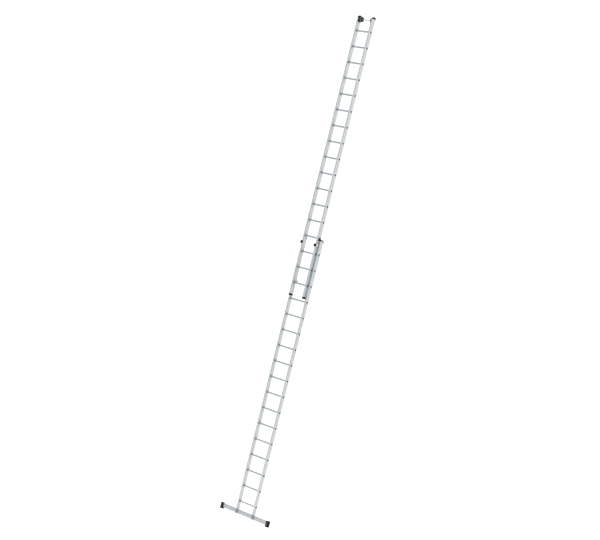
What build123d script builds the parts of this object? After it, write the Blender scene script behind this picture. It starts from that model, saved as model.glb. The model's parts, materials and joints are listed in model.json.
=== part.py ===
"""Two-section push-up extension ladder, drawn fully extended, in millimetres.

Z runs up the stiles from the soles of the stabiliser feet, X runs along the rungs and
the user stands on the -Y side.  The upper (fly) section slides in front of the lower
(base) section, between the lower section's stiles.
"""
import os

from build123d import *

# ---------------------------------------------------------------- driving dimensions
# ladder grid
rung_pitch = 280.0
rung_count = 17
overlap_rungs = 3
first_rung_height = 242.0

# sections
upper_width = 350.0
lower_width = 424.0
stile_thick = 24.0
stile_wall = 2.4
stile_corner = 4.0
stile_groove_depth = 0.8
stile_groove_width = 10.0
upper_stile_depth = 79.5
lower_stile_depth = 75.5
upper_rung_setback = 6.7
lower_rung_setback = 2.8
slide_clearance = 0.8
upper_tail = 232.0
upper_head = 230.0
lower_head = 242.0

# rungs
rung_depth = 27.0
rung_height = 28.0
rung_wall = 1.8
rung_corner = 6.0
rung_hole_clearance = 0.15
rung_collar_depth = 48.0
rung_collar_height = 34.0
rung_collar_thick = 3.0
tread_groove = 1.0
plug_diameter = 32.0
plug_thick = 3.0
plug_spigot = 14.0

# stabiliser bar and its feet
bar_length = 1209.0
bar_height = 77.0
bar_depth = 28.0
bar_wall = 2.2
bar_setback = -13.0
foot_width = 68.0
foot_depth = 50.0
foot_forward = 6.0
foot_scoop = 9.0
foot_sole = 22.0
foot_rise = 6.0
foot_end_wall = 5.0
tread_pitch = 10.0
shoe_wall = 3.0
shoe_drop = 6.0
bar_bolt_diameter = 10.0
bar_bolt_clearance = 0.2

# guide straps and clamp knobs on the lower section
strap_drop = 84.0
strap_height = 44.0
strap_thick = 3.0
strap_gap = 0.8
strap_inset = 22.0
strap_rivet_diameter = 6.0
knob_diameter = 53.0
knob_thick = 20.0
knob_front_round = 8.0
knob_back_round = 4.0
knob_stem_diameter = 12.0
turning_clearance = 0.3

# rung hooks on the upper section
hook_thick = 6.0
hook_gap = 0.8
hook_pin_height = 45.0
hook_pin_diameter = 12.0
hook_eye_radius = 20.0
hook_seat_gap = 0.5
hook_top = 62.0
hook_tip_drop = 16.0
hook_tip_width = 14.0

# black end pieces
cap_rise = 22.0
cap_nose = 33.0
cap_nose_side_reach = 8.0
cap_nose_width = 14.0
cap_finger_depth = 28.0
cap_finger_rise = 54.0
cap_spigot = 26.0
cap_lip_drop = 34.0
cap_lip_thick = 6.0
foot_pad_height = 36.0
foot_pad_round = 15.0
foot_pad_bevel = 2.5
dome_rise = 36.0
dome_overhang = 14.0
dome_spigot = 14.0

# wall rollers
axle_height = 204.0
axle_setback = 19.0
axle_diameter = 16.0
axle_collar_diameter = 24.0
axle_collar_width = 3.0
axle_end_reach = 4.0
cheek_thick = 8.0
cheek_below_axle = 52.0
wheel_diameter = 86.0
wheel_width = 35.0
tyre_thick = 5.5
tyre_round = 3.5
hub_web = 25.0
hub_rim = 5.0
hub_boss = 8.0
wheel_side_gap = 2.0
cheek_bolt_diameter = 8.0
cheek_bolt_forward = 25.0

# ---------------------------------------------------------------- derived positions
upper_outer = upper_width / 2
upper_inner = upper_outer - stile_thick
lower_outer = lower_width / 2
lower_inner = lower_outer - stile_thick

upper_back_offset = upper_stile_depth / 2 - upper_rung_setback
section_offset = upper_back_offset + slide_clearance + rung_depth / 2
upper_front_offset = upper_stile_depth / 2 + upper_rung_setback
lower_back_offset = lower_stile_depth / 2 - lower_rung_setback
strap_back = upper_front_offset + strap_gap
strap_front = strap_back + strap_thick
front_reach = section_offset + strap_front + turning_clearance + knob_thick
back_reach = lower_back_offset + cap_lip_thick
lower_y = (front_reach - back_reach) / 2
upper_y = lower_y - section_offset
upper_mid_y = upper_y - upper_rung_setback
lower_mid_y = lower_y - lower_rung_setback
upper_front_y = upper_y - upper_front_offset
upper_back_y = upper_y + upper_back_offset
lower_front_y = lower_mid_y - lower_stile_depth / 2
lower_back_y = lower_mid_y + lower_stile_depth / 2

lower_rung_z = [first_rung_height + rung_pitch * i for i in range(rung_count)]
upper_first_z = lower_rung_z[rung_count - overlap_rungs]
upper_rung_z = [upper_first_z + rung_pitch * i for i in range(rung_count)]
lower_top = lower_rung_z[-1] + lower_head
upper_bottom = upper_rung_z[0] - upper_tail + foot_pad_height
upper_top = upper_rung_z[-1] + upper_head

bar_bottom = foot_sole
bar_top = bar_bottom + bar_height
bar_front_y = lower_y + bar_setback
bar_mid_y = bar_front_y + bar_depth / 2
bar_back_y = bar_front_y + bar_depth
bar_bolt_z = bar_bottom + bar_height / 2

strap_z = lower_top - strap_drop
strap_front_y = upper_y - strap_front
strap_back_y = upper_y - strap_back
knob_x = upper_outer - stile_thick / 2

axle_z = upper_rung_z[-1] + axle_height
axle_y = upper_y + axle_setback
cheek_inner = upper_inner - cheek_thick
wheel_outer = cheek_inner - wheel_side_gap
wheel_inner = wheel_outer - wheel_width
cheek_bottom = axle_z - cheek_below_axle

os.makedirs("parts", exist_ok=True)


def stile_sketch_sizes(depth):
    """Outer and inner sizes of a box stile."""
    outer = (stile_thick, depth)
    inner = (stile_thick - 2 * stile_wall, depth - 2 * stile_wall)
    return outer, inner


# ---------------------------------------------------------------- stiles
for side, sign in (("left", -1), ("right", 1)):
    outer, inner = stile_sketch_sizes(lower_stile_depth)
    x_mid = sign * (lower_outer - stile_thick / 2)
    with BuildPart() as lower_stile:
        with BuildSketch(Plane.XY.offset(bar_bottom)):
            with Locations((x_mid, lower_mid_y)):
                RectangleRounded(*outer, stile_corner)
                RectangleRounded(*inner, stile_corner - stile_wall + 0.4, mode=Mode.SUBTRACT)
        extrude(amount=lower_top - bar_bottom)
        # long shallow grooves in both broad faces
        with BuildSketch(Plane.XY.offset(bar_bottom)):
            for face in (-1, 1):
                for row in (-1, 1):
                    groove_y = lower_mid_y + row * lower_stile_depth * 0.36
                    with Locations((x_mid + face * stile_thick / 2, groove_y)):
                        Rectangle(2 * stile_groove_depth, stile_groove_width)
        extrude(amount=lower_top - bar_bottom, mode=Mode.SUBTRACT)
        # holes that take the rung ends
        with BuildSketch(Plane.YZ.offset(x_mid - stile_thick)):
            with Locations(*[(lower_y, z) for z in lower_rung_z]):
                RectangleRounded(
                    rung_depth + 2 * rung_hole_clearance,
                    rung_height + 2 * rung_hole_clearance,
                    rung_corner,
                )
        extrude(amount=2 * stile_thick, mode=Mode.SUBTRACT)
        # rear notch that straddles the stabiliser bar
        notch_depth = lower_back_y - bar_front_y + 1
        notch_top = bar_top
        with Locations((x_mid, bar_front_y + notch_depth / 2, (bar_bottom + notch_top) / 2)):
            Box(2 * stile_thick, notch_depth, notch_top - bar_bottom, mode=Mode.SUBTRACT)
        # hole for the bolt that clamps the bar
        with Locations((x_mid, lower_front_y + stile_wall, bar_bolt_z)):
            Cylinder(
                bar_bolt_diameter / 2 + bar_bolt_clearance,
                4 * stile_wall + 8,
                rotation=(90, 0, 0),
                mode=Mode.SUBTRACT,
            )
        # rivet holes for the guide strap
        for dz in (-1, 1):
            rivet_z = strap_z + dz * strap_height * 0.28
            with Locations((sign * (lower_inner + stile_wall / 2), lower_mid_y, rivet_z)):
                Cylinder(
                    strap_rivet_diameter / 2,
                    2 * stile_wall,
                    rotation=(0, 90, 0),
                    mode=Mode.SUBTRACT,
                )
    name = f"lower_stile_{side}"
    lower_stile.part.label = name
    export_step(lower_stile.part, f"parts/{name}.step")

for side, sign in (("left", -1), ("right", 1)):
    outer, inner = stile_sketch_sizes(upper_stile_depth)
    x_mid = sign * (upper_outer - stile_thick / 2)
    with BuildPart() as upper_stile:
        with BuildSketch(Plane.XY.offset(upper_bottom)):
            with Locations((x_mid, upper_mid_y)):
                RectangleRounded(*outer, stile_corner)
                RectangleRounded(*inner, stile_corner - stile_wall + 0.4, mode=Mode.SUBTRACT)
        extrude(amount=upper_top - upper_bottom)
        with BuildSketch(Plane.XY.offset(upper_bottom)):
            for face in (-1, 1):
                for row in (-1, 1):
                    groove_y = upper_mid_y + row * upper_stile_depth * 0.36
                    with Locations((x_mid + face * stile_thick / 2, groove_y)):
                        Rectangle(2 * stile_groove_depth, stile_groove_width)
        extrude(amount=upper_top - upper_bottom, mode=Mode.SUBTRACT)
        with BuildSketch(Plane.YZ.offset(x_mid - stile_thick)):
            with Locations(*[(upper_y, z) for z in upper_rung_z]):
                RectangleRounded(
                    rung_depth + 2 * rung_hole_clearance,
                    rung_height + 2 * rung_hole_clearance,
                    rung_corner,
                )
        extrude(amount=2 * stile_thick, mode=Mode.SUBTRACT)
        # cross hole for the hook pin
        with Locations((x_mid, upper_mid_y, upper_rung_z[0] + hook_pin_height)):
            Cylinder(hook_pin_diameter / 2, 2 * stile_thick, rotation=(0, 90, 0), mode=Mode.SUBTRACT)
        # cross hole for the bolt of the roller cheek
        with Locations((x_mid, upper_y - cheek_bolt_forward, axle_z)):
            Cylinder(cheek_bolt_diameter / 2, 2 * stile_thick, rotation=(0, 90, 0), mode=Mode.SUBTRACT)
        # hole in the inner wall for the end of the roller axle
        with Locations((sign * (upper_inner + stile_wall / 2), axle_y, axle_z)):
            Cylinder(axle_diameter / 2, 2 * stile_wall, rotation=(0, 90, 0), mode=Mode.SUBTRACT)
    name = f"upper_stile_{side}"
    upper_stile.part.label = name
    export_step(upper_stile.part, f"parts/{name}.step")

# ---------------------------------------------------------------- rungs
for section, half_outer, half_inner, y, levels in (
    ("lower", lower_outer, lower_inner, lower_y, lower_rung_z),
    ("upper", upper_outer, upper_inner, upper_y, upper_rung_z),
):
    for number, z in enumerate(levels, start=1):
        with BuildPart() as rung:
            # tube that runs right through both stiles
            with BuildSketch(Plane.YZ.offset(-half_outer)):
                with Locations((y, z)):
                    RectangleRounded(rung_depth, rung_height, rung_corner)
                    RectangleRounded(
                        rung_depth - 2 * rung_wall,
                        rung_height - 2 * rung_wall,
                        rung_corner - rung_wall,
                        mode=Mode.SUBTRACT,
                    )
            extrude(amount=2 * half_outer)
            # swaged collars against the inner faces of the stiles
            for start in (-half_inner, half_inner - rung_collar_thick):
                with BuildSketch(Plane.YZ.offset(start)):
                    with Locations((y, z)):
                        RectangleRounded(rung_collar_depth, rung_collar_height, rung_corner + 3)
                        RectangleRounded(
                            rung_depth - 2 * rung_wall,
                            rung_height - 2 * rung_wall,
                            rung_corner - rung_wall,
                            mode=Mode.SUBTRACT,
                        )
                extrude(amount=rung_collar_thick)
            # grip grooves along the tread
            with BuildSketch(Plane.YZ.offset(-half_inner + rung_collar_thick)):
                for row in (-1, 0, 1):
                    with Locations((y + row * rung_depth * 0.2, z + rung_height / 2)):
                        Rectangle(rung_depth * 0.08, 2 * tread_groove)
            extrude(amount=2 * (half_inner - rung_collar_thick), mode=Mode.SUBTRACT)
        name = f"{section}_rung_{number:02d}"
        rung.part.label = name
        export_step(rung.part, f"parts/{name}.step")

for section, half_outer, y, levels in (
    ("lower", lower_outer, lower_y, lower_rung_z),
    ("upper", upper_outer, upper_y, upper_rung_z),
):
    with BuildPart() as plugs:
        for sign in (-1, 1):
            # domed heads on the outer faces
            with BuildSketch(Plane.YZ.offset(sign * half_outer)):
                with Locations(*[(y, z) for z in levels]):
                    Circle(plug_diameter / 2)
            extrude(amount=sign * plug_thick, taper=30)
            # spigots inside the rung tubes
            with BuildSketch(Plane.YZ.offset(sign * half_outer)):
                with Locations(*[(y, z) for z in levels]):
                    RectangleRounded(
                        rung_depth - 2 * rung_wall,
                        rung_height - 2 * rung_wall,
                        rung_corner - rung_wall,
                    )
            extrude(amount=-sign * plug_spigot)
    name = f"{section}_rung_plugs"
    plugs.part.label = name
    export_step(plugs.part, f"parts/{name}.step")

# ---------------------------------------------------------------- stabiliser
with BuildPart() as stabiliser_bar:
    with BuildSketch(Plane.YZ.offset(-bar_length / 2 + foot_end_wall)):
        with Locations((bar_mid_y, (bar_bottom + bar_top) / 2)):
            RectangleRounded(bar_depth, bar_height, 3)
            RectangleRounded(bar_depth - 2 * bar_wall, bar_height - 2 * bar_wall, 1.5, mode=Mode.SUBTRACT)
    extrude(amount=bar_length - 2 * foot_end_wall)
    for sign in (-1, 1):
        with Locations((sign * (lower_outer - stile_thick / 2), bar_mid_y, bar_bolt_z)):
            Cylinder(
                bar_bolt_diameter / 2 + bar_bolt_clearance,
                2 * bar_depth,
                rotation=(90, 0, 0),
                mode=Mode.SUBTRACT,
            )
stabiliser_bar.part.label = "stabiliser_bar"
export_step(stabiliser_bar.part, "parts/stabiliser_bar.step")

foot_height = bar_top + foot_rise
foot_inner_x = bar_length / 2 - foot_width
scoop_radius = (foot_height**2 / 4 + foot_scoop**2) / (2 * foot_scoop)
with BuildPart() as stabiliser_feet:
    for sign in (-1, 1):
        x_mid = sign * (bar_length / 2 - foot_width / 2)
        with BuildSketch(Plane.XY):
            with Locations((x_mid, bar_mid_y - foot_forward)):
                RectangleRounded(foot_width, foot_depth, 6)
        extrude(amount=foot_height)
    fillet(stabiliser_feet.edges().group_by(Axis.Z)[-1], 3)
    for sign in (-1, 1):
        # hollowed inner end, whose top and bottom lips reach along the bar
        with BuildSketch(Plane.XZ.offset(-bar_mid_y)):
            with Locations((sign * (foot_inner_x + foot_scoop - scoop_radius), foot_height / 2)):
                Circle(scoop_radius)
        extrude(amount=foot_depth, both=True, mode=Mode.SUBTRACT)
        # pocket that takes the end of the bar
        with BuildSketch(Plane.YZ.offset(sign * foot_inner_x)):
            with Locations((bar_mid_y, (bar_bottom + bar_top) / 2)):
                RectangleRounded(bar_depth, bar_height, 3)
        extrude(amount=sign * (foot_width - foot_end_wall), mode=Mode.SUBTRACT)
        # cross treads in the sole
        rows = int((foot_width - 2 * tread_pitch) // tread_pitch)
        for k in range(rows):
            x_groove = sign * (bar_length / 2 - foot_width / 2) + (k - (rows - 1) / 2) * tread_pitch
            with Locations((x_groove, bar_mid_y - foot_forward, 0)):
                Box(tread_pitch * 0.4, 2 * foot_depth, 5, mode=Mode.SUBTRACT)
stabiliser_feet.part.label = "stabiliser_feet"
export_step(stabiliser_feet.part, "parts/stabiliser_feet.step")

shoe_front_y = lower_front_y - shoe_wall
with BuildPart() as stabiliser_shoes:
    for sign in (-1, 1):
        x_mid = sign * (lower_outer - stile_thick / 2)
        shoe_depth = bar_front_y - shoe_front_y
        with BuildSketch(Plane.XY.offset(bar_bottom)):
            with Locations((x_mid, shoe_front_y + shoe_depth / 2)):
                Rectangle(stile_thick + 2 * shoe_wall, shoe_depth)
            with Locations((x_mid, lower_mid_y)):
                RectangleRounded(stile_thick, lower_stile_depth, stile_corner, mode=Mode.SUBTRACT)
        extrude(amount=bar_height - shoe_drop)
        with Locations((x_mid, shoe_front_y + shoe_wall / 2, bar_bolt_z)):
            Cylinder(
                bar_bolt_diameter / 2 + bar_bolt_clearance,
                4 * shoe_wall,
                rotation=(90, 0, 0),
                mode=Mode.SUBTRACT,
            )
stabiliser_shoes.part.label = "stabiliser_shoes"
export_step(stabiliser_shoes.part, "parts/stabiliser_shoes.step")

bolt_head_thick = bar_bolt_diameter * 0.64
with BuildPart() as stabiliser_bolts:
    for sign in (-1, 1):
        x_bolt = sign * (lower_outer - stile_thick / 2)
        with BuildSketch(Plane.XZ.offset(-bar_back_y)):
            with Locations((x_bolt, bar_bolt_z)):
                RegularPolygon(bar_bolt_diameter * 0.85, 6, major_radius=False)
        extrude(amount=-bolt_head_thick)
        with BuildSketch(Plane.XZ.offset(-shoe_front_y)):
            with Locations((x_bolt, bar_bolt_z)):
                RegularPolygon(bar_bolt_diameter * 0.85, 6, major_radius=False)
        extrude(amount=bolt_head_thick)
        with BuildSketch(Plane.XZ.offset(-shoe_front_y)):
            with Locations((x_bolt, bar_bolt_z)):
                Circle(bar_bolt_diameter / 2)
        extrude(amount=-(bar_back_y - shoe_front_y + bolt_head_thick + 3))
stabiliser_bolts.part.label = "stabiliser_bolts"
export_step(stabiliser_bolts.part, "parts/stabiliser_bolts.step")

# ---------------------------------------------------------------- black end pieces
cap_nose_y = lower_front_y - cap_nose
with BuildPart() as lower_top_caps:
    for sign in (-1, 1):
        x_mid = sign * (lower_outer - stile_thick / 2)
        # head that covers the end of the stile, with a sloping top
        with BuildSketch(Plane.YZ.offset(x_mid - stile_thick / 2)) as cap_side:
            with BuildLine():
                Polyline(
                    (lower_front_y, lower_top),
                    (lower_front_y, lower_top + cap_rise),
                    (lower_back_y - lower_stile_depth * 0.2, lower_top + cap_rise),
                    (lower_back_y + cap_lip_thick, lower_top),
                    (lower_back_y + cap_lip_thick, lower_top - cap_lip_drop),
                    (lower_back_y, lower_top - cap_lip_drop),
                    (lower_back_y, lower_top),
                    close=True,
                )
            make_face()
        extrude(amount=stile_thick)
        # guide nose that reaches forward between the sections, with an upright finger
        nose_start = sign * (lower_inner - cap_nose_side_reach)
        with BuildSketch(Plane.YZ.offset(nose_start)):
            with BuildLine():
                Polyline(
                    (cap_nose_y, lower_top),
                    (cap_nose_y, lower_top + cap_rise),
                    (lower_front_y - cap_finger_depth / 2, lower_top + cap_rise),
                    (lower_front_y - cap_finger_depth / 2, lower_top + cap_finger_rise),
                    (lower_front_y + cap_finger_depth / 4, lower_top + cap_finger_rise),
                    (lower_front_y + cap_finger_depth / 2, lower_top + cap_rise),
                    (lower_front_y + cap_finger_depth / 2, lower_top),
                    close=True,
                )
            make_face()
        extrude(amount=sign * cap_nose_width)
        # spigot inside the stile
        with BuildSketch(Plane.XY.offset(lower_top)):
            with Locations((x_mid, lower_mid_y)):
                RectangleRounded(
                    stile_thick - 2 * stile_wall,
                    lower_stile_depth - 2 * stile_wall,
                    stile_corner - stile_wall + 0.4,
                )
        extrude(amount=-cap_spigot)
lower_top_caps.part.label = "lower_top_caps"
export_step(lower_top_caps.part, "parts/lower_top_caps.step")

with BuildPart() as upper_foot_pads:
    for sign in (-1, 1):
        x_mid = sign * (upper_outer - stile_thick / 2)
        # block as wide as the stile, with both lower corners well rounded
        with BuildSketch(Plane.YZ.offset(x_mid - stile_thick / 2)) as pad_side:
            with Locations((upper_mid_y, upper_bottom - foot_pad_height / 2)):
                Rectangle(upper_stile_depth, foot_pad_height)
            fillet(pad_side.vertices().group_by(Axis.Y)[0], foot_pad_round)
        extrude(amount=stile_thick)
    chamfer(upper_foot_pads.edges().group_by(Axis.Z)[0].filter_by(Axis.Y), foot_pad_bevel)
    for sign in (-1, 1):
        x_mid = sign * (upper_outer - stile_thick / 2)
        with BuildSketch(Plane.XY.offset(upper_bottom)):
            with Locations((x_mid, upper_mid_y)):
                RectangleRounded(
                    stile_thick - 2 * stile_wall,
                    upper_stile_depth - 2 * stile_wall,
                    stile_corner - stile_wall + 0.4,
                )
        extrude(amount=cap_spigot)
upper_foot_pads.part.label = "upper_foot_pads"
export_step(upper_foot_pads.part, "parts/upper_foot_pads.step")

with BuildPart() as roller_brackets:
    for sign in (-1, 1):
        x_mid = sign * (upper_outer - stile_thick / 2)
        # domed bumper over the end of the stile
        with BuildSketch(Plane.YZ.offset(x_mid - stile_thick / 2)):
            with BuildLine():
                Polyline(
                    (upper_front_y, upper_top),
                    (upper_back_y + dome_overhang, upper_top),
                    (upper_back_y + dome_overhang, upper_top + dome_rise * 0.35),
                )
                ThreePointArc(
                    (upper_back_y + dome_overhang, upper_top + dome_rise * 0.35),
                    (upper_mid_y + dome_overhang / 2, upper_top + dome_rise),
                    (upper_front_y, upper_top + dome_rise * 0.2),
                )
                Line((upper_front_y, upper_top + dome_rise * 0.2), (upper_front_y, upper_top))
            make_face()
        extrude(amount=stile_thick)
        # spigot inside the stile
        with BuildSketch(Plane.XY.offset(upper_top)):
            with Locations((x_mid, upper_mid_y)):
                RectangleRounded(
                    stile_thick - 2 * stile_wall,
                    upper_stile_depth - 2 * stile_wall,
                    stile_corner - stile_wall + 0.4,
                )
        extrude(amount=-dome_spigot)
        # cheek against the inner face of the stile, joined to the bumper above it
        cheek_start = upper_inner - cheek_thick if sign > 0 else -upper_inner
        cheek_top = upper_top + dome_rise * 0.2
        with BuildSketch(Plane.YZ.offset(cheek_start)):
            with BuildLine():
                Polyline(
                    (upper_front_y, cheek_bottom),
                    (upper_back_y, cheek_bottom),
                    (upper_back_y, upper_top),
                    (upper_back_y, cheek_top),
                    (upper_front_y, cheek_top),
                    close=True,
                )
            make_face()
        extrude(amount=cheek_thick)
        # holes for the axle and for the bolt that fixes the cheek
        cheek_mid_x = sign * (upper_inner - cheek_thick / 2)
        with Locations((cheek_mid_x, axle_y, axle_z)):
            Cylinder(axle_diameter / 2, 2 * cheek_thick, rotation=(0, 90, 0), mode=Mode.SUBTRACT)
        with Locations((cheek_mid_x, upper_y - cheek_bolt_forward, axle_z)):
            Cylinder(cheek_bolt_diameter / 2, 2 * cheek_thick, rotation=(0, 90, 0), mode=Mode.SUBTRACT)
roller_brackets.part.label = "roller_brackets"
export_step(roller_brackets.part, "parts/roller_brackets.step")

with BuildPart() as roller_bracket_bolts:
    for sign in (-1, 1):
        bolt_y = upper_y - cheek_bolt_forward
        # round head on the outer face of the stile
        with BuildSketch(Plane.YZ.offset(sign * upper_outer)):
            with Locations((bolt_y, axle_z)):
                Circle(cheek_bolt_diameter * 0.9)
        extrude(amount=sign * 3, taper=25)
        with BuildSketch(Plane.YZ.offset(sign * upper_outer)):
            with Locations((bolt_y, axle_z)):
                Circle(cheek_bolt_diameter / 2)
        extrude(amount=-sign * (stile_thick + cheek_thick))
roller_bracket_bolts.part.label = "roller_bracket_bolts"
export_step(roller_bracket_bolts.part, "parts/roller_bracket_bolts.step")

# ---------------------------------------------------------------- wall rollers
with BuildPart() as roller_axle:
    axle_half = upper_inner + stile_wall + axle_end_reach
    with BuildSketch(Plane.YZ.offset(-axle_half)):
        with Locations((axle_y, axle_z)):
            Circle(axle_diameter / 2)
    extrude(amount=2 * axle_half)
    for sign in (-1, 1):
        collar_x = sign * (wheel_inner - turning_clearance)
        with BuildSketch(Plane.YZ.offset(collar_x)):
            with Locations((axle_y, axle_z)):
                Circle(axle_collar_diameter / 2)
        extrude(amount=-sign * axle_collar_width)
roller_axle.part.label = "roller_axle"
export_step(roller_axle.part, "parts/roller_axle.step")

for side, sign in (("left", -1), ("right", 1)):
    start = wheel_inner if sign > 0 else -wheel_outer
    hub_radius = wheel_diameter / 2 - tyre_thick
    with BuildPart() as roller_hub:
        with BuildSketch(Plane.YZ.offset(start)):
            with Locations((axle_y, axle_z)):
                Circle(hub_radius)
        extrude(amount=wheel_width)
        # dished faces either side of the web
        for dish_start, dish_sign in ((start, 1), (start + wheel_width, -1)):
            with BuildSketch(Plane.YZ.offset(dish_start)):
                with Locations((axle_y, axle_z)):
                    Circle(hub_radius - hub_rim)
                    Circle(axle_diameter / 2 + hub_boss, mode=Mode.SUBTRACT)
            extrude(amount=dish_sign * (wheel_width - hub_web) / 2, mode=Mode.SUBTRACT)
        with Locations((start + wheel_width / 2, axle_y, axle_z)):
            Cylinder(
                axle_diameter / 2 + turning_clearance,
                2 * wheel_width,
                rotation=(0, 90, 0),
                mode=Mode.SUBTRACT,
            )
    name = f"roller_hub_{side}"
    roller_hub.part.label = name
    export_step(roller_hub.part, f"parts/{name}.step")

    with BuildPart() as roller_tyre:
        with BuildSketch(Plane.YZ.offset(start)):
            with Locations((axle_y, axle_z)):
                Circle(wheel_diameter / 2)
        extrude(amount=wheel_width)
        fillet(roller_tyre.edges(), tyre_round)
        with Locations((start + wheel_width / 2, axle_y, axle_z)):
            Cylinder(hub_radius, 2 * wheel_width, rotation=(0, 90, 0), mode=Mode.SUBTRACT)
    name = f"roller_tyre_{side}"
    roller_tyre.part.label = name
    export_step(roller_tyre.part, f"parts/{name}.step")

# ---------------------------------------------------------------- guide straps and knobs
with BuildPart() as guide_straps:
    for sign in (-1, 1):
        # plate on the inner face of the lower stile, turned in front of the upper stile
        plate_x = sign * (lower_inner - strap_thick / 2)
        plate_len = lower_back_y - 12 - strap_front_y
        with Locations((plate_x, strap_front_y + plate_len / 2, strap_z)):
            Box(strap_thick, plate_len, strap_height)
        tab_inner = upper_outer - strap_inset
        tab_len = lower_inner - tab_inner
        with Locations((sign * (tab_inner + tab_len / 2), strap_front_y + strap_thick / 2, strap_z)):
            Box(tab_len, strap_thick, strap_height)
        with Locations((sign * knob_x, strap_front_y + strap_thick / 2, strap_z)):
            Cylinder(
                knob_stem_diameter / 2 + turning_clearance,
                4 * strap_thick,
                rotation=(90, 0, 0),
                mode=Mode.SUBTRACT,
            )
        for dz in (-1, 1):
            with Locations((plate_x, lower_mid_y, strap_z + dz * strap_height * 0.28)):
                Cylinder(
                    strap_rivet_diameter / 2,
                    4 * strap_thick,
                    rotation=(0, 90, 0),
                    mode=Mode.SUBTRACT,
                )
guide_straps.part.label = "guide_straps"
export_step(guide_straps.part, "parts/guide_straps.step")

with BuildPart() as guide_rivets:
    for sign in (-1, 1):
        for dz in (-1, 1):
            rivet_z = strap_z + dz * strap_height * 0.28
            with BuildSketch(Plane.YZ.offset(sign * (lower_inner - strap_thick))):
                with Locations((lower_mid_y, rivet_z)):
                    Circle(strap_rivet_diameter)
            extrude(amount=-sign * 2.5, taper=30)
            with BuildSketch(Plane.YZ.offset(sign * (lower_inner - strap_thick))):
                with Locations((lower_mid_y, rivet_z)):
                    Circle(strap_rivet_diameter / 2)
            extrude(amount=sign * (strap_thick + stile_wall))
            with BuildSketch(Plane.YZ.offset(sign * (lower_inner + stile_wall))):
                with Locations((lower_mid_y, rivet_z)):
                    Circle(strap_rivet_diameter * 0.8)
            extrude(amount=sign * 3)
guide_rivets.part.label = "guide_rivets"
export_step(guide_rivets.part, "parts/guide_rivets.step")

for side, sign in (("left", -1), ("right", 1)):
    with BuildPart() as guide_knob:
        knob_back_y = strap_front_y - turning_clearance
        with BuildSketch(Plane.XZ.offset(-knob_back_y)):
            with Locations((sign * knob_x, strap_z)):
                Circle(knob_diameter / 2)
        extrude(amount=knob_thick)
        fillet(guide_knob.faces().sort_by(Axis.Y)[0].edges(), knob_front_round)
        fillet(guide_knob.faces().sort_by(Axis.Y)[-1].edges(), knob_back_round)
        # finger scallops round the rim
        with BuildSketch(Plane.XZ.offset(-knob_back_y)):
            with Locations((sign * knob_x, strap_z)):
                with PolarLocations(knob_diameter / 2 + 2, 8):
                    Circle(4.5)
        extrude(amount=knob_thick, mode=Mode.SUBTRACT)
        # stem through the strap
        with BuildSketch(Plane.XZ.offset(-knob_back_y)):
            with Locations((sign * knob_x, strap_z)):
                Circle(knob_stem_diameter / 2)
        extrude(amount=-(turning_clearance + strap_thick))
    name = f"guide_knob_{side}"
    guide_knob.part.label = name
    export_step(guide_knob.part, f"parts/{name}.step")

# ---------------------------------------------------------------- rung hooks
hook_z = upper_rung_z[0]
hook_pin_z = hook_z + hook_pin_height
rung_top_z = hook_z + rung_height / 2
rung_back_y = lower_y + rung_depth / 2
rung_front_y = lower_y - rung_depth / 2
mouth_back_y = rung_back_y + 2 * hook_gap
for side, sign in (("left", -1), ("right", 1)):
    with BuildPart() as rung_hook:
        plate_start = upper_inner - hook_gap - hook_thick if sign > 0 else -(upper_inner - hook_gap)
        with BuildSketch(Plane.YZ.offset(plate_start)):
            with Locations((upper_mid_y, hook_pin_z)):
                Circle(hook_eye_radius)
            with BuildLine():
                Polyline(
                    (upper_mid_y, hook_pin_z + hook_eye_radius),
                    (mouth_back_y, hook_z + hook_top),
                    (mouth_back_y + hook_tip_width, hook_z + hook_top - 14),
                    (mouth_back_y + hook_tip_width, hook_z - hook_tip_drop + 6),
                    (mouth_back_y + hook_tip_width * 0.5, hook_z - hook_tip_drop),
                    (mouth_back_y, hook_z - hook_tip_drop),
                    (mouth_back_y, rung_top_z + hook_seat_gap),
                    (rung_front_y - 2, rung_top_z + hook_seat_gap),
                    (rung_front_y - 2, hook_pin_z - hook_eye_radius),
                    (upper_mid_y, hook_pin_z - hook_eye_radius),
                    close=True,
                )
            make_face()
            with Locations((upper_mid_y, hook_pin_z)):
                Circle(hook_pin_diameter / 2 + turning_clearance, mode=Mode.SUBTRACT)
        extrude(amount=hook_thick)
    name = f"rung_hook_{side}"
    rung_hook.part.label = name
    export_step(rung_hook.part, f"parts/{name}.step")

with BuildPart() as hook_pins:
    for sign in (-1, 1):
        pin_inner = upper_inner - 2 * hook_gap - hook_thick
        # head on the outer face of the stile
        with BuildSketch(Plane.YZ.offset(sign * upper_outer)):
            with Locations((upper_mid_y, hook_pin_z)):
                Circle(hook_pin_diameter * 0.85)
        extrude(amount=sign * 4, taper=20)
        with BuildSketch(Plane.YZ.offset(sign * upper_outer)):
            with Locations((upper_mid_y, hook_pin_z)):
                Circle(hook_pin_diameter / 2)
        extrude(amount=-sign * (upper_outer - pin_inner))
        # washer that keeps the hook on
        with BuildSketch(Plane.YZ.offset(sign * pin_inner)):
            with Locations((upper_mid_y, hook_pin_z)):
                Circle(hook_pin_diameter)
        extrude(amount=-sign * 4)
hook_pins.part.label = "hook_pins"
export_step(hook_pins.part, "parts/hook_pins.step")
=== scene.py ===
"""Looks of the two-section extension ladder: materials, extra detail, light and camera."""
import json
import math

import bmesh
import bpy
from mathutils import Matrix, Vector


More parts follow.
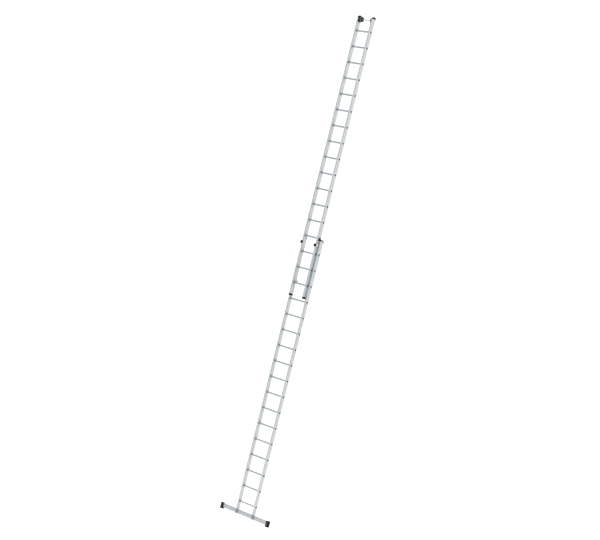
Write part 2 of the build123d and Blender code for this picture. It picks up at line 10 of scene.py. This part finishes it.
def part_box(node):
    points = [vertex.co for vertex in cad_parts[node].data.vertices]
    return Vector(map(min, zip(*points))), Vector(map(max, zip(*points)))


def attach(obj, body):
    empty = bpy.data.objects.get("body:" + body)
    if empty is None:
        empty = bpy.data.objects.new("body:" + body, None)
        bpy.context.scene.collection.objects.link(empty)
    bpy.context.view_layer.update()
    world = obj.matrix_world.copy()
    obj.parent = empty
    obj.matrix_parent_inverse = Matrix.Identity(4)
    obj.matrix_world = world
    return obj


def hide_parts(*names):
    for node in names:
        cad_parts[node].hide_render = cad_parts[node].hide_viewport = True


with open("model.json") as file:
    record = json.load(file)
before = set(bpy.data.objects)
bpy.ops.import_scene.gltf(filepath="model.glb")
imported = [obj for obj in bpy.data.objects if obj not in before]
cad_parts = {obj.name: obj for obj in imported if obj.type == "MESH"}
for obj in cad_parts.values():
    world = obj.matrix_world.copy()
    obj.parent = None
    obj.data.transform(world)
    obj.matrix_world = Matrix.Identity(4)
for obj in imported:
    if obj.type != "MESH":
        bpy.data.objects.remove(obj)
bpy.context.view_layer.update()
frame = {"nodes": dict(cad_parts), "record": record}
record = frame["record"]
scene = bpy.context.scene
SIDES = (("left", -1.0), ("right", 1.0))
SECTIONS = ("lower", "upper")
RUNG_COUNT = 17
X_AXIS, Y_AXIS, Z_AXIS = Vector((1, 0, 0)), Vector((0, 1, 0)), Vector((0, 0, 1))
WHITE = (1.0, 1.0, 1.0, 1.0)
# edges steeper than this are shaded sharp and rounded off
SHARP_ANGLE = math.radians(32.0)


def middle(node):
    """Centre of a node's box."""
    low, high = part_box(node)
    return (Vector(low) + Vector(high)) / 2


def rung_centres(section):
    """Centres of a section's rungs, from the lowest one up."""
    return [middle(f"{section}_rung_{k:02d}") for k in range(1, RUNG_COUNT + 1)]


# ------------------------------------------------------------------ material helpers
class Shader:
    """A Principled material with short ways to add nodes."""

    def __init__(self, name, base, metallic, roughness):
        self.material = bpy.data.materials.new(name)
        self.material.use_nodes = True
        self.material.diffuse_color = (*base, 1.0)
        self.nodes = self.material.node_tree.nodes
        self.links = self.material.node_tree.links
        self.bsdf = self.nodes["Principled BSDF"]
        self.bsdf.inputs["Base Color"].default_value = (*base, 1.0)
        self.bsdf.inputs["Metallic"].default_value = metallic
        self.bsdf.inputs["Roughness"].default_value = roughness
        self.coords = self.nodes.new("ShaderNodeTexCoord").outputs["Object"]

    def mapped(self, scale):
        node = self.nodes.new("ShaderNodeMapping")
        node.inputs["Scale"].default_value = scale
        self.links.new(self.coords, node.inputs["Vector"])
        return node.outputs["Vector"]

    def noise(self, scale, detail=3.0, stretch=(1, 1, 1), rough=0.55):
        node = self.nodes.new("ShaderNodeTexNoise")
        node.inputs["Scale"].default_value = scale
        node.inputs["Detail"].default_value = detail
        node.inputs["Roughness"].default_value = rough
        self.links.new(self.mapped(stretch), node.inputs["Vector"])
        return node.outputs["Fac"]

    def voronoi(self, scale, stretch=(1, 1, 1)):
        node = self.nodes.new("ShaderNodeTexVoronoi")
        node.inputs["Scale"].default_value = scale
        self.links.new(self.mapped(stretch), node.inputs["Vector"])
        return node.outputs["Color"]

    def ramp(self, fac, low, high, start=0.35, stop=0.65):
        node = self.nodes.new("ShaderNodeMapRange")
        node.inputs["From Min"].default_value = start
        node.inputs["From Max"].default_value = stop
        node.inputs["To Min"].default_value = low
        node.inputs["To Max"].default_value = high
        self.links.new(fac, node.inputs["Value"])
        return node.outputs["Result"]

    def mix(self, fac, colour_a, colour_b):
        node = self.nodes.new("ShaderNodeMix")
        node.data_type = "RGBA"
        self.links.new(fac, node.inputs[0])
        for socket, colour in ((6, colour_a), (7, colour_b)):
            if isinstance(colour, tuple):
                node.inputs[socket].default_value = (*colour, 1.0)
            else:
                self.links.new(colour, node.inputs[socket])
        return node.outputs[2]

    def beyond(self, axis, limit):
        """1 where the distance from the middle plane of an axis is over the limit, else 0."""
        split = self.nodes.new("ShaderNodeSeparateXYZ")
        self.links.new(self.coords, split.inputs[0])
        distance = self.nodes.new("ShaderNodeMath")
        distance.operation = "ABSOLUTE"
        self.links.new(split.outputs[axis], distance.inputs[0])
        mask = self.nodes.new("ShaderNodeMath")
        mask.operation = "GREATER_THAN"
        mask.inputs[1].default_value = limit
        self.links.new(distance.outputs[0], mask.inputs[0])
        return mask.outputs[0]

    def colour(self, socket):
        self.links.new(socket, self.bsdf.inputs["Base Color"])

    def rough(self, socket):
        self.links.new(socket, self.bsdf.inputs["Roughness"])

    def bump(self, height, strength, distance, chain=None):
        node = self.nodes.new("ShaderNodeBump")
        node.inputs["Strength"].default_value = strength
        node.inputs["Distance"].default_value = distance
        self.links.new(height, node.inputs["Height"])
        if chain is not None:
            self.links.new(chain, node.inputs["Normal"])
        self.links.new(node.outputs["Normal"], self.bsdf.inputs["Normal"])
        return node.outputs["Normal"]


def shade(colour, factor):
    """The colour made lighter or darker by a factor."""
    return tuple(min(1.0, c * factor) for c in colour)


def drawn_aluminium(name, base, along, shade_from_x=None):
    """Extruded aluminium: die lines along one axis, soft blotches and rubbed spots; with a limit along
    X, painted shade darkens the ends beyond it.
    """
    roughness = 0.6
    s = Shader(name, base, 0.2, roughness)
    stretch = [260.0, 260.0, 260.0]
    stretch["XYZ".index(along)] = 1.2
    lines = s.noise(1.0, 4.0, tuple(stretch), 0.7)
    blotch = s.noise(5.0, 3.0)
    rubbed = s.noise(38.0, 5.0, (1, 1, 0.35) if along == "Z" else (0.35, 1, 1), 0.7)
    tone = s.mix(s.ramp(blotch, 0.0, 1.0), shade(base, 0.98), shade(base, 1.01))
    tone = s.mix(s.ramp(lines, 0.0, 0.25), tone, shade(base, 0.92))
    tone = s.mix(s.ramp(rubbed, 0.0, 0.22, 0.6, 0.75), tone, shade(base, 0.86))
    # painted shade: beyond the limit along X, next to the stiles, the rung ends take a dark colour
    # that stands in for the shade in the joints
    if shade_from_x is not None:
        tone = s.mix(s.beyond("X", shade_from_x), tone, RUNG_END_SHADE)
    s.colour(tone)
    s.rough(s.ramp(lines, roughness - 0.07, roughness + 0.1, 0.3, 0.7))
    first = s.bump(lines, 0.05, 0.00005)
    s.bump(rubbed, 0.02, 0.0001, first)
    return s.material


def moulded(name, base, roughness=0.5, grain=900.0, scuff=None):
    """Grained moulding with faint scuffs."""
    s = Shader(name, base, 0.0, roughness)
    fine = s.noise(grain, 2.0)
    wear = s.noise(24.0, 6.0, (1, 1, 1), 0.75)
    tone = s.mix(s.ramp(s.noise(9.0), 0.0, 1.0), shade(base, 0.82), shade(base, 1.12))
    s.colour(s.mix(s.ramp(wear, 0.0, 0.45, 0.6, 0.72), tone, scuff or shade(base, 1.7)))
    s.rough(s.ramp(wear, roughness - 0.06, roughness + 0.14))
    s.bsdf.inputs["Specular IOR Level"].default_value = 0.18
    first = s.bump(fine, 0.12, 0.0001)
    s.bump(wear, 0.04, 0.0002, first)
    return s.material


def plated(name, base, roughness=0.34, metallic=0.85):
    """Zinc plated steel: faint crystal patches and small dull spots."""
    s = Shader(name, base, metallic, roughness)
    patches = s.voronoi(150.0)
    spots = s.noise(60.0, 6.0, (1, 1, 1), 0.75)
    grey = s.nodes.new("ShaderNodeRGBToBW")
    s.links.new(patches, grey.inputs[0])
    tone = s.mix(s.ramp(grey.outputs[0], 0.0, 1.0, 0.2, 0.8), shade(base, 0.9), shade(base, 1.06))
    s.colour(s.mix(s.ramp(spots, 0.0, 0.5, 0.6, 0.75), tone, shade(base, 0.66)))
    s.rough(s.ramp(spots, roughness - 0.05, roughness + 0.18))
    s.bump(spots, 0.1, 0.0002)
    return s.material


# ------------------------------------------------------------------ materials
STILE = (0.575, 0.605, 0.62)
RUNG = (0.43, 0.455, 0.47)
BAR = (0.50, 0.52, 0.53)
# painted shade: the dark colour and the width of the band at each rung end beside the stiles
RUNG_END_SHADE = (0.20, 0.225, 0.245)
RUNG_END_SHADE_WIDTH = 0.0034
upper_inner = abs(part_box("upper_stile_right")[0][0])
lower_inner = abs(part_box("lower_stile_right")[0][0])
mats = {
    "stile_aluminium": drawn_aluminium("stile aluminium", STILE, "Z"),
    "upper_rung": drawn_aluminium("upper rung aluminium", RUNG, "X", upper_inner - RUNG_END_SHADE_WIDTH),
    "lower_rung": drawn_aluminium("lower rung aluminium", RUNG, "X", lower_inner - RUNG_END_SHADE_WIDTH),
    "bar_aluminium": drawn_aluminium("bar aluminium", BAR, "X"),
    "shoe_metal": plated("cast shoe", (0.34, 0.37, 0.39), 0.5, 0.4),
    "strap_zinc": plated("zinc strap", (0.56, 0.555, 0.52)),
    "hook_zinc": plated("zinc hook", (0.52, 0.515, 0.48)),
    "fastener_steel": plated("plated fastener", (0.58, 0.60, 0.62), 0.3),
    "axle_steel": plated("bright axle", (0.50, 0.52, 0.53), 0.3),
    "black_plastic": moulded("black moulding", (0.008, 0.008, 0.009)),
    "plug_plastic": moulded("plug moulding", (0.008, 0.009, 0.010), 0.6),
    "knob_plastic": moulded("knob moulding", (0.006, 0.006, 0.007), 0.5),
    "hub_plastic": moulded("hub moulding", (0.006, 0.006, 0.007), 0.5),
    "foot_rubber": moulded("foot rubber", (0.009, 0.009, 0.010), 0.75, 600.0),
    "tyre_rubber": moulded("grey tyre", (0.13, 0.17, 0.20), 0.62, 500.0, (0.22, 0.26, 0.28)),
}

slots = {row["node"]: row["material_slot"] for row in record["subparts"]}
for node in frame["nodes"]:
    key = slots[node]
    if key == "rung_aluminium":
        key = "upper_rung" if node.startswith("upper") else "lower_rung"
    mesh = bpy.data.objects[node].data
    mesh.materials.clear()
    mesh.materials.append(mats[key])


# ------------------------------------------------------------------ mesh helpers
def finish_piece(name, bm, key, body):
    """Turns a bmesh into a piece with a material, on its body."""
    bmesh.ops.recalc_face_normals(bm, faces=bm.faces)
    mesh = bpy.data.meshes.new(name)
    bm.to_mesh(mesh)
    bm.free()
    mesh.polygons.foreach_set("use_smooth", [True] * len(mesh.polygons))
    mesh.set_sharp_from_angle(angle=SHARP_ANGLE)
    mesh.materials.append(mats[key])
    piece = bpy.data.objects.new(name, mesh)
    scene.collection.objects.link(piece)
    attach(piece, body)
    return piece


def lathe(bm, profile, origin, axis, steps=28, closed=False):
    """Turned shape: the profile's points are (radius, height along the axis)."""
    axis = Vector(axis)
    side = axis.orthogonal().normalized()
    other = axis.cross(side)
    rings = []
    for radius, height in profile:
        centre = Vector(origin) + axis * height
        if radius == 0.0:
            rings.append([bm.verts.new(centre)])
            continue
        ring = []
        for k in range(steps):
            angle = 2 * math.pi * k / steps
            outward = side * math.cos(angle) + other * math.sin(angle)
            ring.append(bm.verts.new(centre + outward * radius))
        rings.append(ring)
    pairs = list(zip(rings, rings[1:]))
    if closed:
        pairs.append((rings[-1], rings[0]))
    for first, second in pairs:
        for k in range(steps):
            corners = [first[k % len(first)], first[(k + 1) % len(first)]]
            corners += [second[(k + 1) % len(second)], second[k % len(second)]]
            corners = list(dict.fromkeys(corners))
            bm.faces.new(corners)


def block(bm, centre, axes, sizes, top):
    """Box on three axes whose far face is shrunk by the factor top."""
    corners = []
    for w in (-0.5, 0.5):
        shrink = top if w > 0 else 1.0
        for u, v in ((-0.5, -0.5), (0.5, -0.5), (0.5, 0.5), (-0.5, 0.5)):
            spot = Vector(centre) + axes[2] * (w * sizes[2])
            spot += axes[0] * (u * sizes[0] * shrink) + axes[1] * (v * sizes[1] * shrink)
            corners.append(bm.verts.new(spot))
    for face in ((0, 3, 2, 1), (4, 5, 6, 7), (0, 1, 5, 4), (1, 2, 6, 5), (2, 3, 7, 6), (3, 0, 4, 7)):
        bm.faces.new([corners[k] for k in face])


def softened(node, width, body):
    """The node's own shape with its sharp edges rounded, in place of the plain node."""
    bm = bmesh.new()
    bm.from_mesh(bpy.data.objects[node].data)
    bmesh.ops.remove_doubles(bm, verts=bm.verts, dist=1e-6)
    bmesh.ops.dissolve_limit(bm, angle_limit=math.radians(1.0), verts=bm.verts, edges=bm.edges)
    sharp = [e for e in bm.edges if e.is_manifold and e.calc_face_angle(0.0) > SHARP_ANGLE]
    bmesh.ops.bevel(
        bm, geom=sharp, offset=width, segments=2, affect="EDGES", profile=0.5, clamp_overlap=True
    )
    piece = finish_piece(f"{node}_rounded", bm, slots[node], body)
    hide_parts(node)


# ------------------------------------------------------------------ extra detail
for node in ("lower_top_caps", "stabiliser_feet"):
    softened(node, 0.0016, "lower_section")
for node in ("stabiliser_shoes", "guide_straps"):
    softened(node, 0.0007, "lower_section")
for node in ("upper_foot_pads", "roller_brackets"):
    softened(node, 0.0014, "upper_section")
for side, _ in SIDES:
    softened(f"rung_hook_{side}", 0.0008, f"hook_{side}")


def rung_ends(section):
    """Plug heads with a dimple, and the flared rims of the rung tubes round them."""
    plugs_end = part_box(f"{section}_rung_plugs")[1][0]
    head = plugs_end - abs(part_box(f"{section}_stile_right")[1][0])
    radius = PLUG_RADIUS
    plug = [(0.0, head * 0.55), (radius * 0.28, head * 0.6), (radius * 0.36, head * 0.98)]
    plug += [(radius * 0.62, head), (radius * 0.84, head * 0.86), (radius * 0.95, head * 0.5)]
    plug += [(radius, 0.0), (radius * 0.8, 0.0)]
    plug += [(radius * 0.8, -SPIGOT_LENGTH), (0.0, -SPIGOT_LENGTH)]
    rim = [(radius, -0.0005), (radius, 0.0006), (radius * 1.03, 0.0009)]
    rim += [(radius * 1.06, 0.0005), (radius * 1.07, -0.0005)]
    plugs, rims = bmesh.new(), bmesh.new()
    for spot in rung_centres(section):
        for _, sign in SIDES:
            face = Vector((sign * (plugs_end - head), spot.y, spot.z))
            lathe(plugs, plug, face, X_AXIS * sign)
            lathe(rims, rim, face, X_AXIS * sign, closed=True)
    body = f"{section}_section"
    heads = finish_piece(f"{section}_plug_heads", plugs, "plug_plastic", body)
    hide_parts(f"{section}_rung_plugs")
    finish_piece(f"{section}_rung_rims", rims, "stile_aluminium", body)


PLUG_RADIUS = 0.016
SPIGOT_LENGTH = 0.012
for section in SECTIONS:
    rung_ends(section)


def tread_teeth(section):
    """Rows of small teeth on the tread of every rung."""
    inner = abs(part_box(f"{section}_stile_right")[0][0])
    count = int(2 * (inner - TREAD_MARGIN) // TOOTH_PITCH)
    lift = RUNG_HEIGHT / 2 + TOOTH_HEIGHT / 2 - TOOTH_SINK
    sizes = (TOOTH_PITCH * 0.6, TOOTH_WIDTH, TOOTH_HEIGHT)
    bm = bmesh.new()
    for spot in rung_centres(section):
        for row in (-1, 1):
            for n in range(count):
                x = (n - (count - 1) / 2) * TOOTH_PITCH
                centre = (x, spot.y + row * TOOTH_ROW, spot.z + lift)
                block(bm, centre, (X_AXIS, Y_AXIS, Z_AXIS), sizes, 0.5)
    key = f"{section}_rung"
    finish_piece(f"{section}_tread_teeth", bm, key, f"{section}_section")


RUNG_HEIGHT = 0.028
TREAD_MARGIN = 0.007
TOOTH_PITCH = 0.006
TOOTH_ROW = 0.0027
TOOTH_WIDTH = 0.0026
TOOTH_HEIGHT = 0.00045
TOOTH_SINK = 0.0001
for section in SECTIONS:
    tread_teeth(section)


def foot_screws():
    """Socket screws that fix the feet, on the front and back of each foot."""
    low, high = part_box("stabiliser_feet")
    bar_low, bar_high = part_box("stabiliser_bar")
    bm = bmesh.new()
    head = [(0.0, 0.0006), (0.0022, 0.0006), (0.0024, 0.0026), (0.0042, 0.0028), (0.0052, 0.0018)]
    head += [(0.0054, 0.0), (0.0054, -0.001), (0.0, -0.001)]
    for _, sign in SIDES:
        x = sign * (high[0] - FOOT_WIDTH / 2)
        for share in (0.3, 0.7):
            z = bar_low[2] + (bar_high[2] - bar_low[2]) * share
            lathe(bm, head, (x, low[1], z), -Y_AXIS)
            lathe(bm, head, (x, high[1], z), Y_AXIS)
    finish_piece("foot_screws", bm, "fastener_steel", "lower_section")


FOOT_WIDTH = 0.068
foot_screws()


def bolt_washers():
    """Flat washers under the heads and the nuts of the bar's bolts."""
    bolt_z = middle("stabiliser_bolts").z
    x = middle("lower_stile_right").x
    faces = ((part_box("stabiliser_shoes")[0][1], -Y_AXIS), (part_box("stabiliser_bar")[1][1], Y_AXIS))
    ring = [(0.0052, 0.0), (0.0112, 0.0), (0.0116, 0.0004)]
    ring += [(0.0116, 0.0014), (0.0112, 0.0018), (0.0052, 0.0018)]
    bm = bmesh.new()
    for _, sign in SIDES:
        for y, out in faces:
            lathe(bm, ring, (sign * x, y, bolt_z), out, closed=True)
    finish_piece("bolt_washers", bm, "fastener_steel", "lower_section")


bolt_washers()


def hub_ribs(side):
    """Radial ribs in both dished faces of a hub."""
    low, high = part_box(f"roller_hub_{side}")
    centre = middle(f"roller_hub_{side}")
    length = (high[2] - low[2]) / 2 - HUB_RIM - HUB_BOSS
    sizes = (length + RIB_OVERRUN, RIB_THICK, HUB_DISH - RIB_RECESS)
    bm = bmesh.new()
    for x, out in ((low[0], -1.0), (high[0], 1.0)):
        for k in range(RIB_COUNT):
            angle = 2 * math.pi * k / RIB_COUNT
            radial = Vector((0, math.cos(angle), math.sin(angle)))
            spot = centre + radial * (HUB_BOSS + length / 2)
            spot.x = x - out * (HUB_DISH + RIB_RECESS) / 2
            block(bm, spot, (radial, radial.cross(X_AXIS), X_AXIS * out), sizes, 0.92)
    finish_piece(f"hub_ribs_{side}", bm, "hub_plastic", f"roller_{side}")


def tyre_detail(side):
    """Raised bands round the tread of a tyre, and black rings on its side walls."""
    centre = middle(f"roller_hub_{side}")
    low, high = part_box(f"roller_tyre_{side}")
    radius = (high[2] - low[2]) / 2
    band = [(radius - 0.001, -0.0014), (radius + 0.0005, -0.0008)]
    band += [(radius + 0.0005, 0.0008), (radius - 0.001, 0.0014)]
    bands = bmesh.new()
    for k in range(BAND_COUNT):
        x = centre.x + (k - (BAND_COUNT - 1) / 2) * BAND_PITCH
        lathe(bands, band, (x, centre.y, centre.z), X_AXIS, WHEEL_STEPS, closed=True)
    finish_piece(f"tyre_bands_{side}", bands, "tyre_rubber", f"roller_{side}")
    wall = [(radius - 0.0070, -0.0004), (radius - 0.0068, 0.0005), (radius - 0.0036, 0.0007)]
    wall += [(radius - 0.0022, 0.0001), (radius - 0.0022, -0.0010)]
    walls = bmesh.new()
    for x, out in ((low[0], -X_AXIS), (high[0], X_AXIS)):
        lathe(walls, wall, (x, centre.y, centre.z), out, WHEEL_STEPS, closed=True)
    finish_piece(f"tyre_walls_{side}", walls, "hub_plastic", f"roller_{side}")


HUB_RIM = 0.005
HUB_BOSS = 0.016
HUB_DISH = 0.005
RIB_COUNT = 8
RIB_THICK = 0.0032
RIB_RECESS = 0.0008
RIB_OVERRUN = 0.002
BAND_COUNT = 5
BAND_PITCH = 0.0055
WHEEL_STEPS = 64
for side, _ in SIDES:
    hub_ribs(side)
    tyre_detail(side)


def knob_cap(side):
    """Domed cap with a raised ring in the middle of a knob."""
    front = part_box(f"guide_knob_{side}")[0][1]
    spot = middle(f"guide_knob_{side}")
    bm = bmesh.new()
    cap = [(0.0, 0.0010), (0.004, 0.0009), (0.0062, 0.0004), (0.0072, 0.0012), (0.0086, 0.0012)]
    cap += [(0.0094, 0.0), (0.0094, -0.001), (0.0, -0.001)]
    lathe(bm, cap, (spot.x, front, spot.z), -Y_AXIS)
    finish_piece(f"knob_cap_{side}", bm, "knob_plastic", f"knob_{side}")


for side, _ in SIDES:
    knob_cap(side)


# ------------------------------------------------------------------ stage, light, camera
def pale_floor(name, size, z):
    """Square plane centred under the ladder."""
    half = size / 2
    corners = [(-half, -half, z), (half, -half, z), (half, half, z), (-half, half, z)]
    mesh = bpy.data.meshes.new(name)
    mesh.from_pydata(corners, [], [(0, 1, 2, 3)])
    plane = bpy.data.objects.new(name, mesh)
    scene.collection.objects.link(plane)
    return plane


floor = pale_floor("floor", 1600.0, -0.0005)
floor_shader = Shader("pale floor", (0.92, 0.92, 0.92), 0.0, 0.9)
floor_shader.colour(
    floor_shader.mix(floor_shader.noise(0.7, 2.0), (0.915, 0.915, 0.915), (0.93, 0.93, 0.93))
)
# the floor glows a little, most of all round the ladder's foot
spread = floor_shader.nodes.new("ShaderNodeVectorMath")
spread.operation = "LENGTH"
floor_shader.links.new(floor_shader.coords, spread.inputs[0])
floor_shader.bsdf.inputs["Emission Color"].default_value = WHITE
floor_shader.links.new(
    floor_shader.ramp(spread.outputs["Value"], 0.72, 0.3, 1.2, 4.0),
    floor_shader.bsdf.inputs["Emission Strength"],
)
floor.data.materials.append(floor_shader.material)

scene.view_settings.view_transform = "Standard"
# the strength of the white tent round the ladder, how far it dims towards the camera's side and
# how much it brightens from front to back
TENT_LEVEL = 1.15
TENT_DIM = 0.95
TENT_TILT = 0.08
DIM_SIDE = (0.685, -0.729, 0.0)
BACKDROP = 1.1
world = bpy.data.worlds.new("studio")
scene.world = world
world.use_nodes = True
wn, wl = world.node_tree.nodes, world.node_tree.links
tent = wn["Background"]
tent.inputs["Color"].default_value = WHITE
sky = wn.new("ShaderNodeTexCoord").outputs["Generated"]


def sky_along(direction):
    """How far a sky direction points along another: from -1 to 1."""
    node = wn.new("ShaderNodeVectorMath")
    node.operation = "DOT_PRODUCT"
    node.inputs[1].default_value = direction
    wl.new(sky, node.inputs[0])
    return node.outputs["Value"]


def tent_term(value, low, high, start, stop):
    """A part of the tent's strength, going from low at start to high at stop."""
    node = wn.new("ShaderNodeMapRange")
    for key, number in (("From Min", start), ("From Max", stop), ("To Min", low), ("To Max", high)):
        node.inputs[key].default_value = number
    wl.new(value, node.inputs["Value"])
    return node.outputs["Result"]


tent_sum = wn.new("ShaderNodeMath")
tent_sum.operation = "ADD"
dimming = tent_term(sky_along(DIM_SIDE), TENT_LEVEL, TENT_LEVEL - TENT_DIM, 0.0, 1.0)
tilting = tent_term(sky_along(Y_AXIS), -TENT_TILT, TENT_TILT, -1.0, 1.0)
wl.new(dimming, tent_sum.inputs[0])
wl.new(tilting, tent_sum.inputs[1])
wl.new(tent_sum.outputs[0], tent.inputs["Strength"])
# the camera itself sees a plain white backdrop
backdrop = wn.new("ShaderNodeBackground")
backdrop.inputs["Color"].default_value = WHITE
backdrop.inputs["Strength"].default_value = BACKDROP
choice = wn.new("ShaderNodeMixShader")
wl.new(wn.new("ShaderNodeLightPath").outputs["Is Camera Ray"], choice.inputs[0])
wl.new(tent.outputs[0], choice.inputs[1])
wl.new(backdrop.outputs[0], choice.inputs[2])
wl.new(choice.outputs[0], wn["World Output"].inputs["Surface"])


def area_light(name, position, target, size, power):
    """Rectangular soft light that points at the target."""
    data = bpy.data.lights.new(name, "AREA")
    data.shape = "RECTANGLE"
    data.size, data.size_y = size
    data.energy = power
    lamp = bpy.data.objects.new(name, data)
    lamp.location = position
    lamp.rotation_mode = "QUATERNION"
    lamp.rotation_quaternion = (Vector(target) - Vector(position)).to_track_quat("-Z", "Y")
    scene.collection.objects.link(lamp)


area_light("key", (8.0, 6.0, 9.0), (0.0, 0.0, 4.5), (6.0, 10.0), 200.0)

# the camera stands well away, looks past the top rung of the upper section and is rolled, so
# that the ladder seems to lean; the shift is to the right and up, in metres
CAMERA_AZIMUTH = math.radians(43.235)
CAMERA_ELEVATION = math.radians(1.3413)
CAMERA_ROLL = math.radians(13.9887)
CAMERA_LENS = 104.814
SENSOR_WIDTH = 36.0
CAMERA_DISTANCE = 30.0422
CAMERA_SHIFT = (-1.09073, -4.10165)
anchor = middle("upper_rung_17")
ca, sa = math.cos(CAMERA_AZIMUTH), math.sin(CAMERA_AZIMUTH)
ce, se = math.cos(CAMERA_ELEVATION), math.sin(CAMERA_ELEVATION)
back = Vector((sa * ce, -ca * ce, se))
level = Vector((ca, sa, 0.0))
rise = level.cross(-back)
cr, sr = math.cos(CAMERA_ROLL), math.sin(CAMERA_ROLL)
right = cr * level + sr * rise
up = cr * rise - sr * level
camera_data = bpy.data.cameras.new("camera")
camera_data.sensor_width = SENSOR_WIDTH
camera_data.lens = CAMERA_LENS
camera_data.clip_end = 2000.0
camera = bpy.data.objects.new("camera", camera_data)
scene.collection.objects.link(camera)
place = anchor + back * CAMERA_DISTANCE + right * CAMERA_SHIFT[0] + up * CAMERA_SHIFT[1]
turn = Matrix((right, up, back)).transposed().to_4x4()
camera.matrix_world = Matrix.Translation(place) @ turn
scene.camera = camera
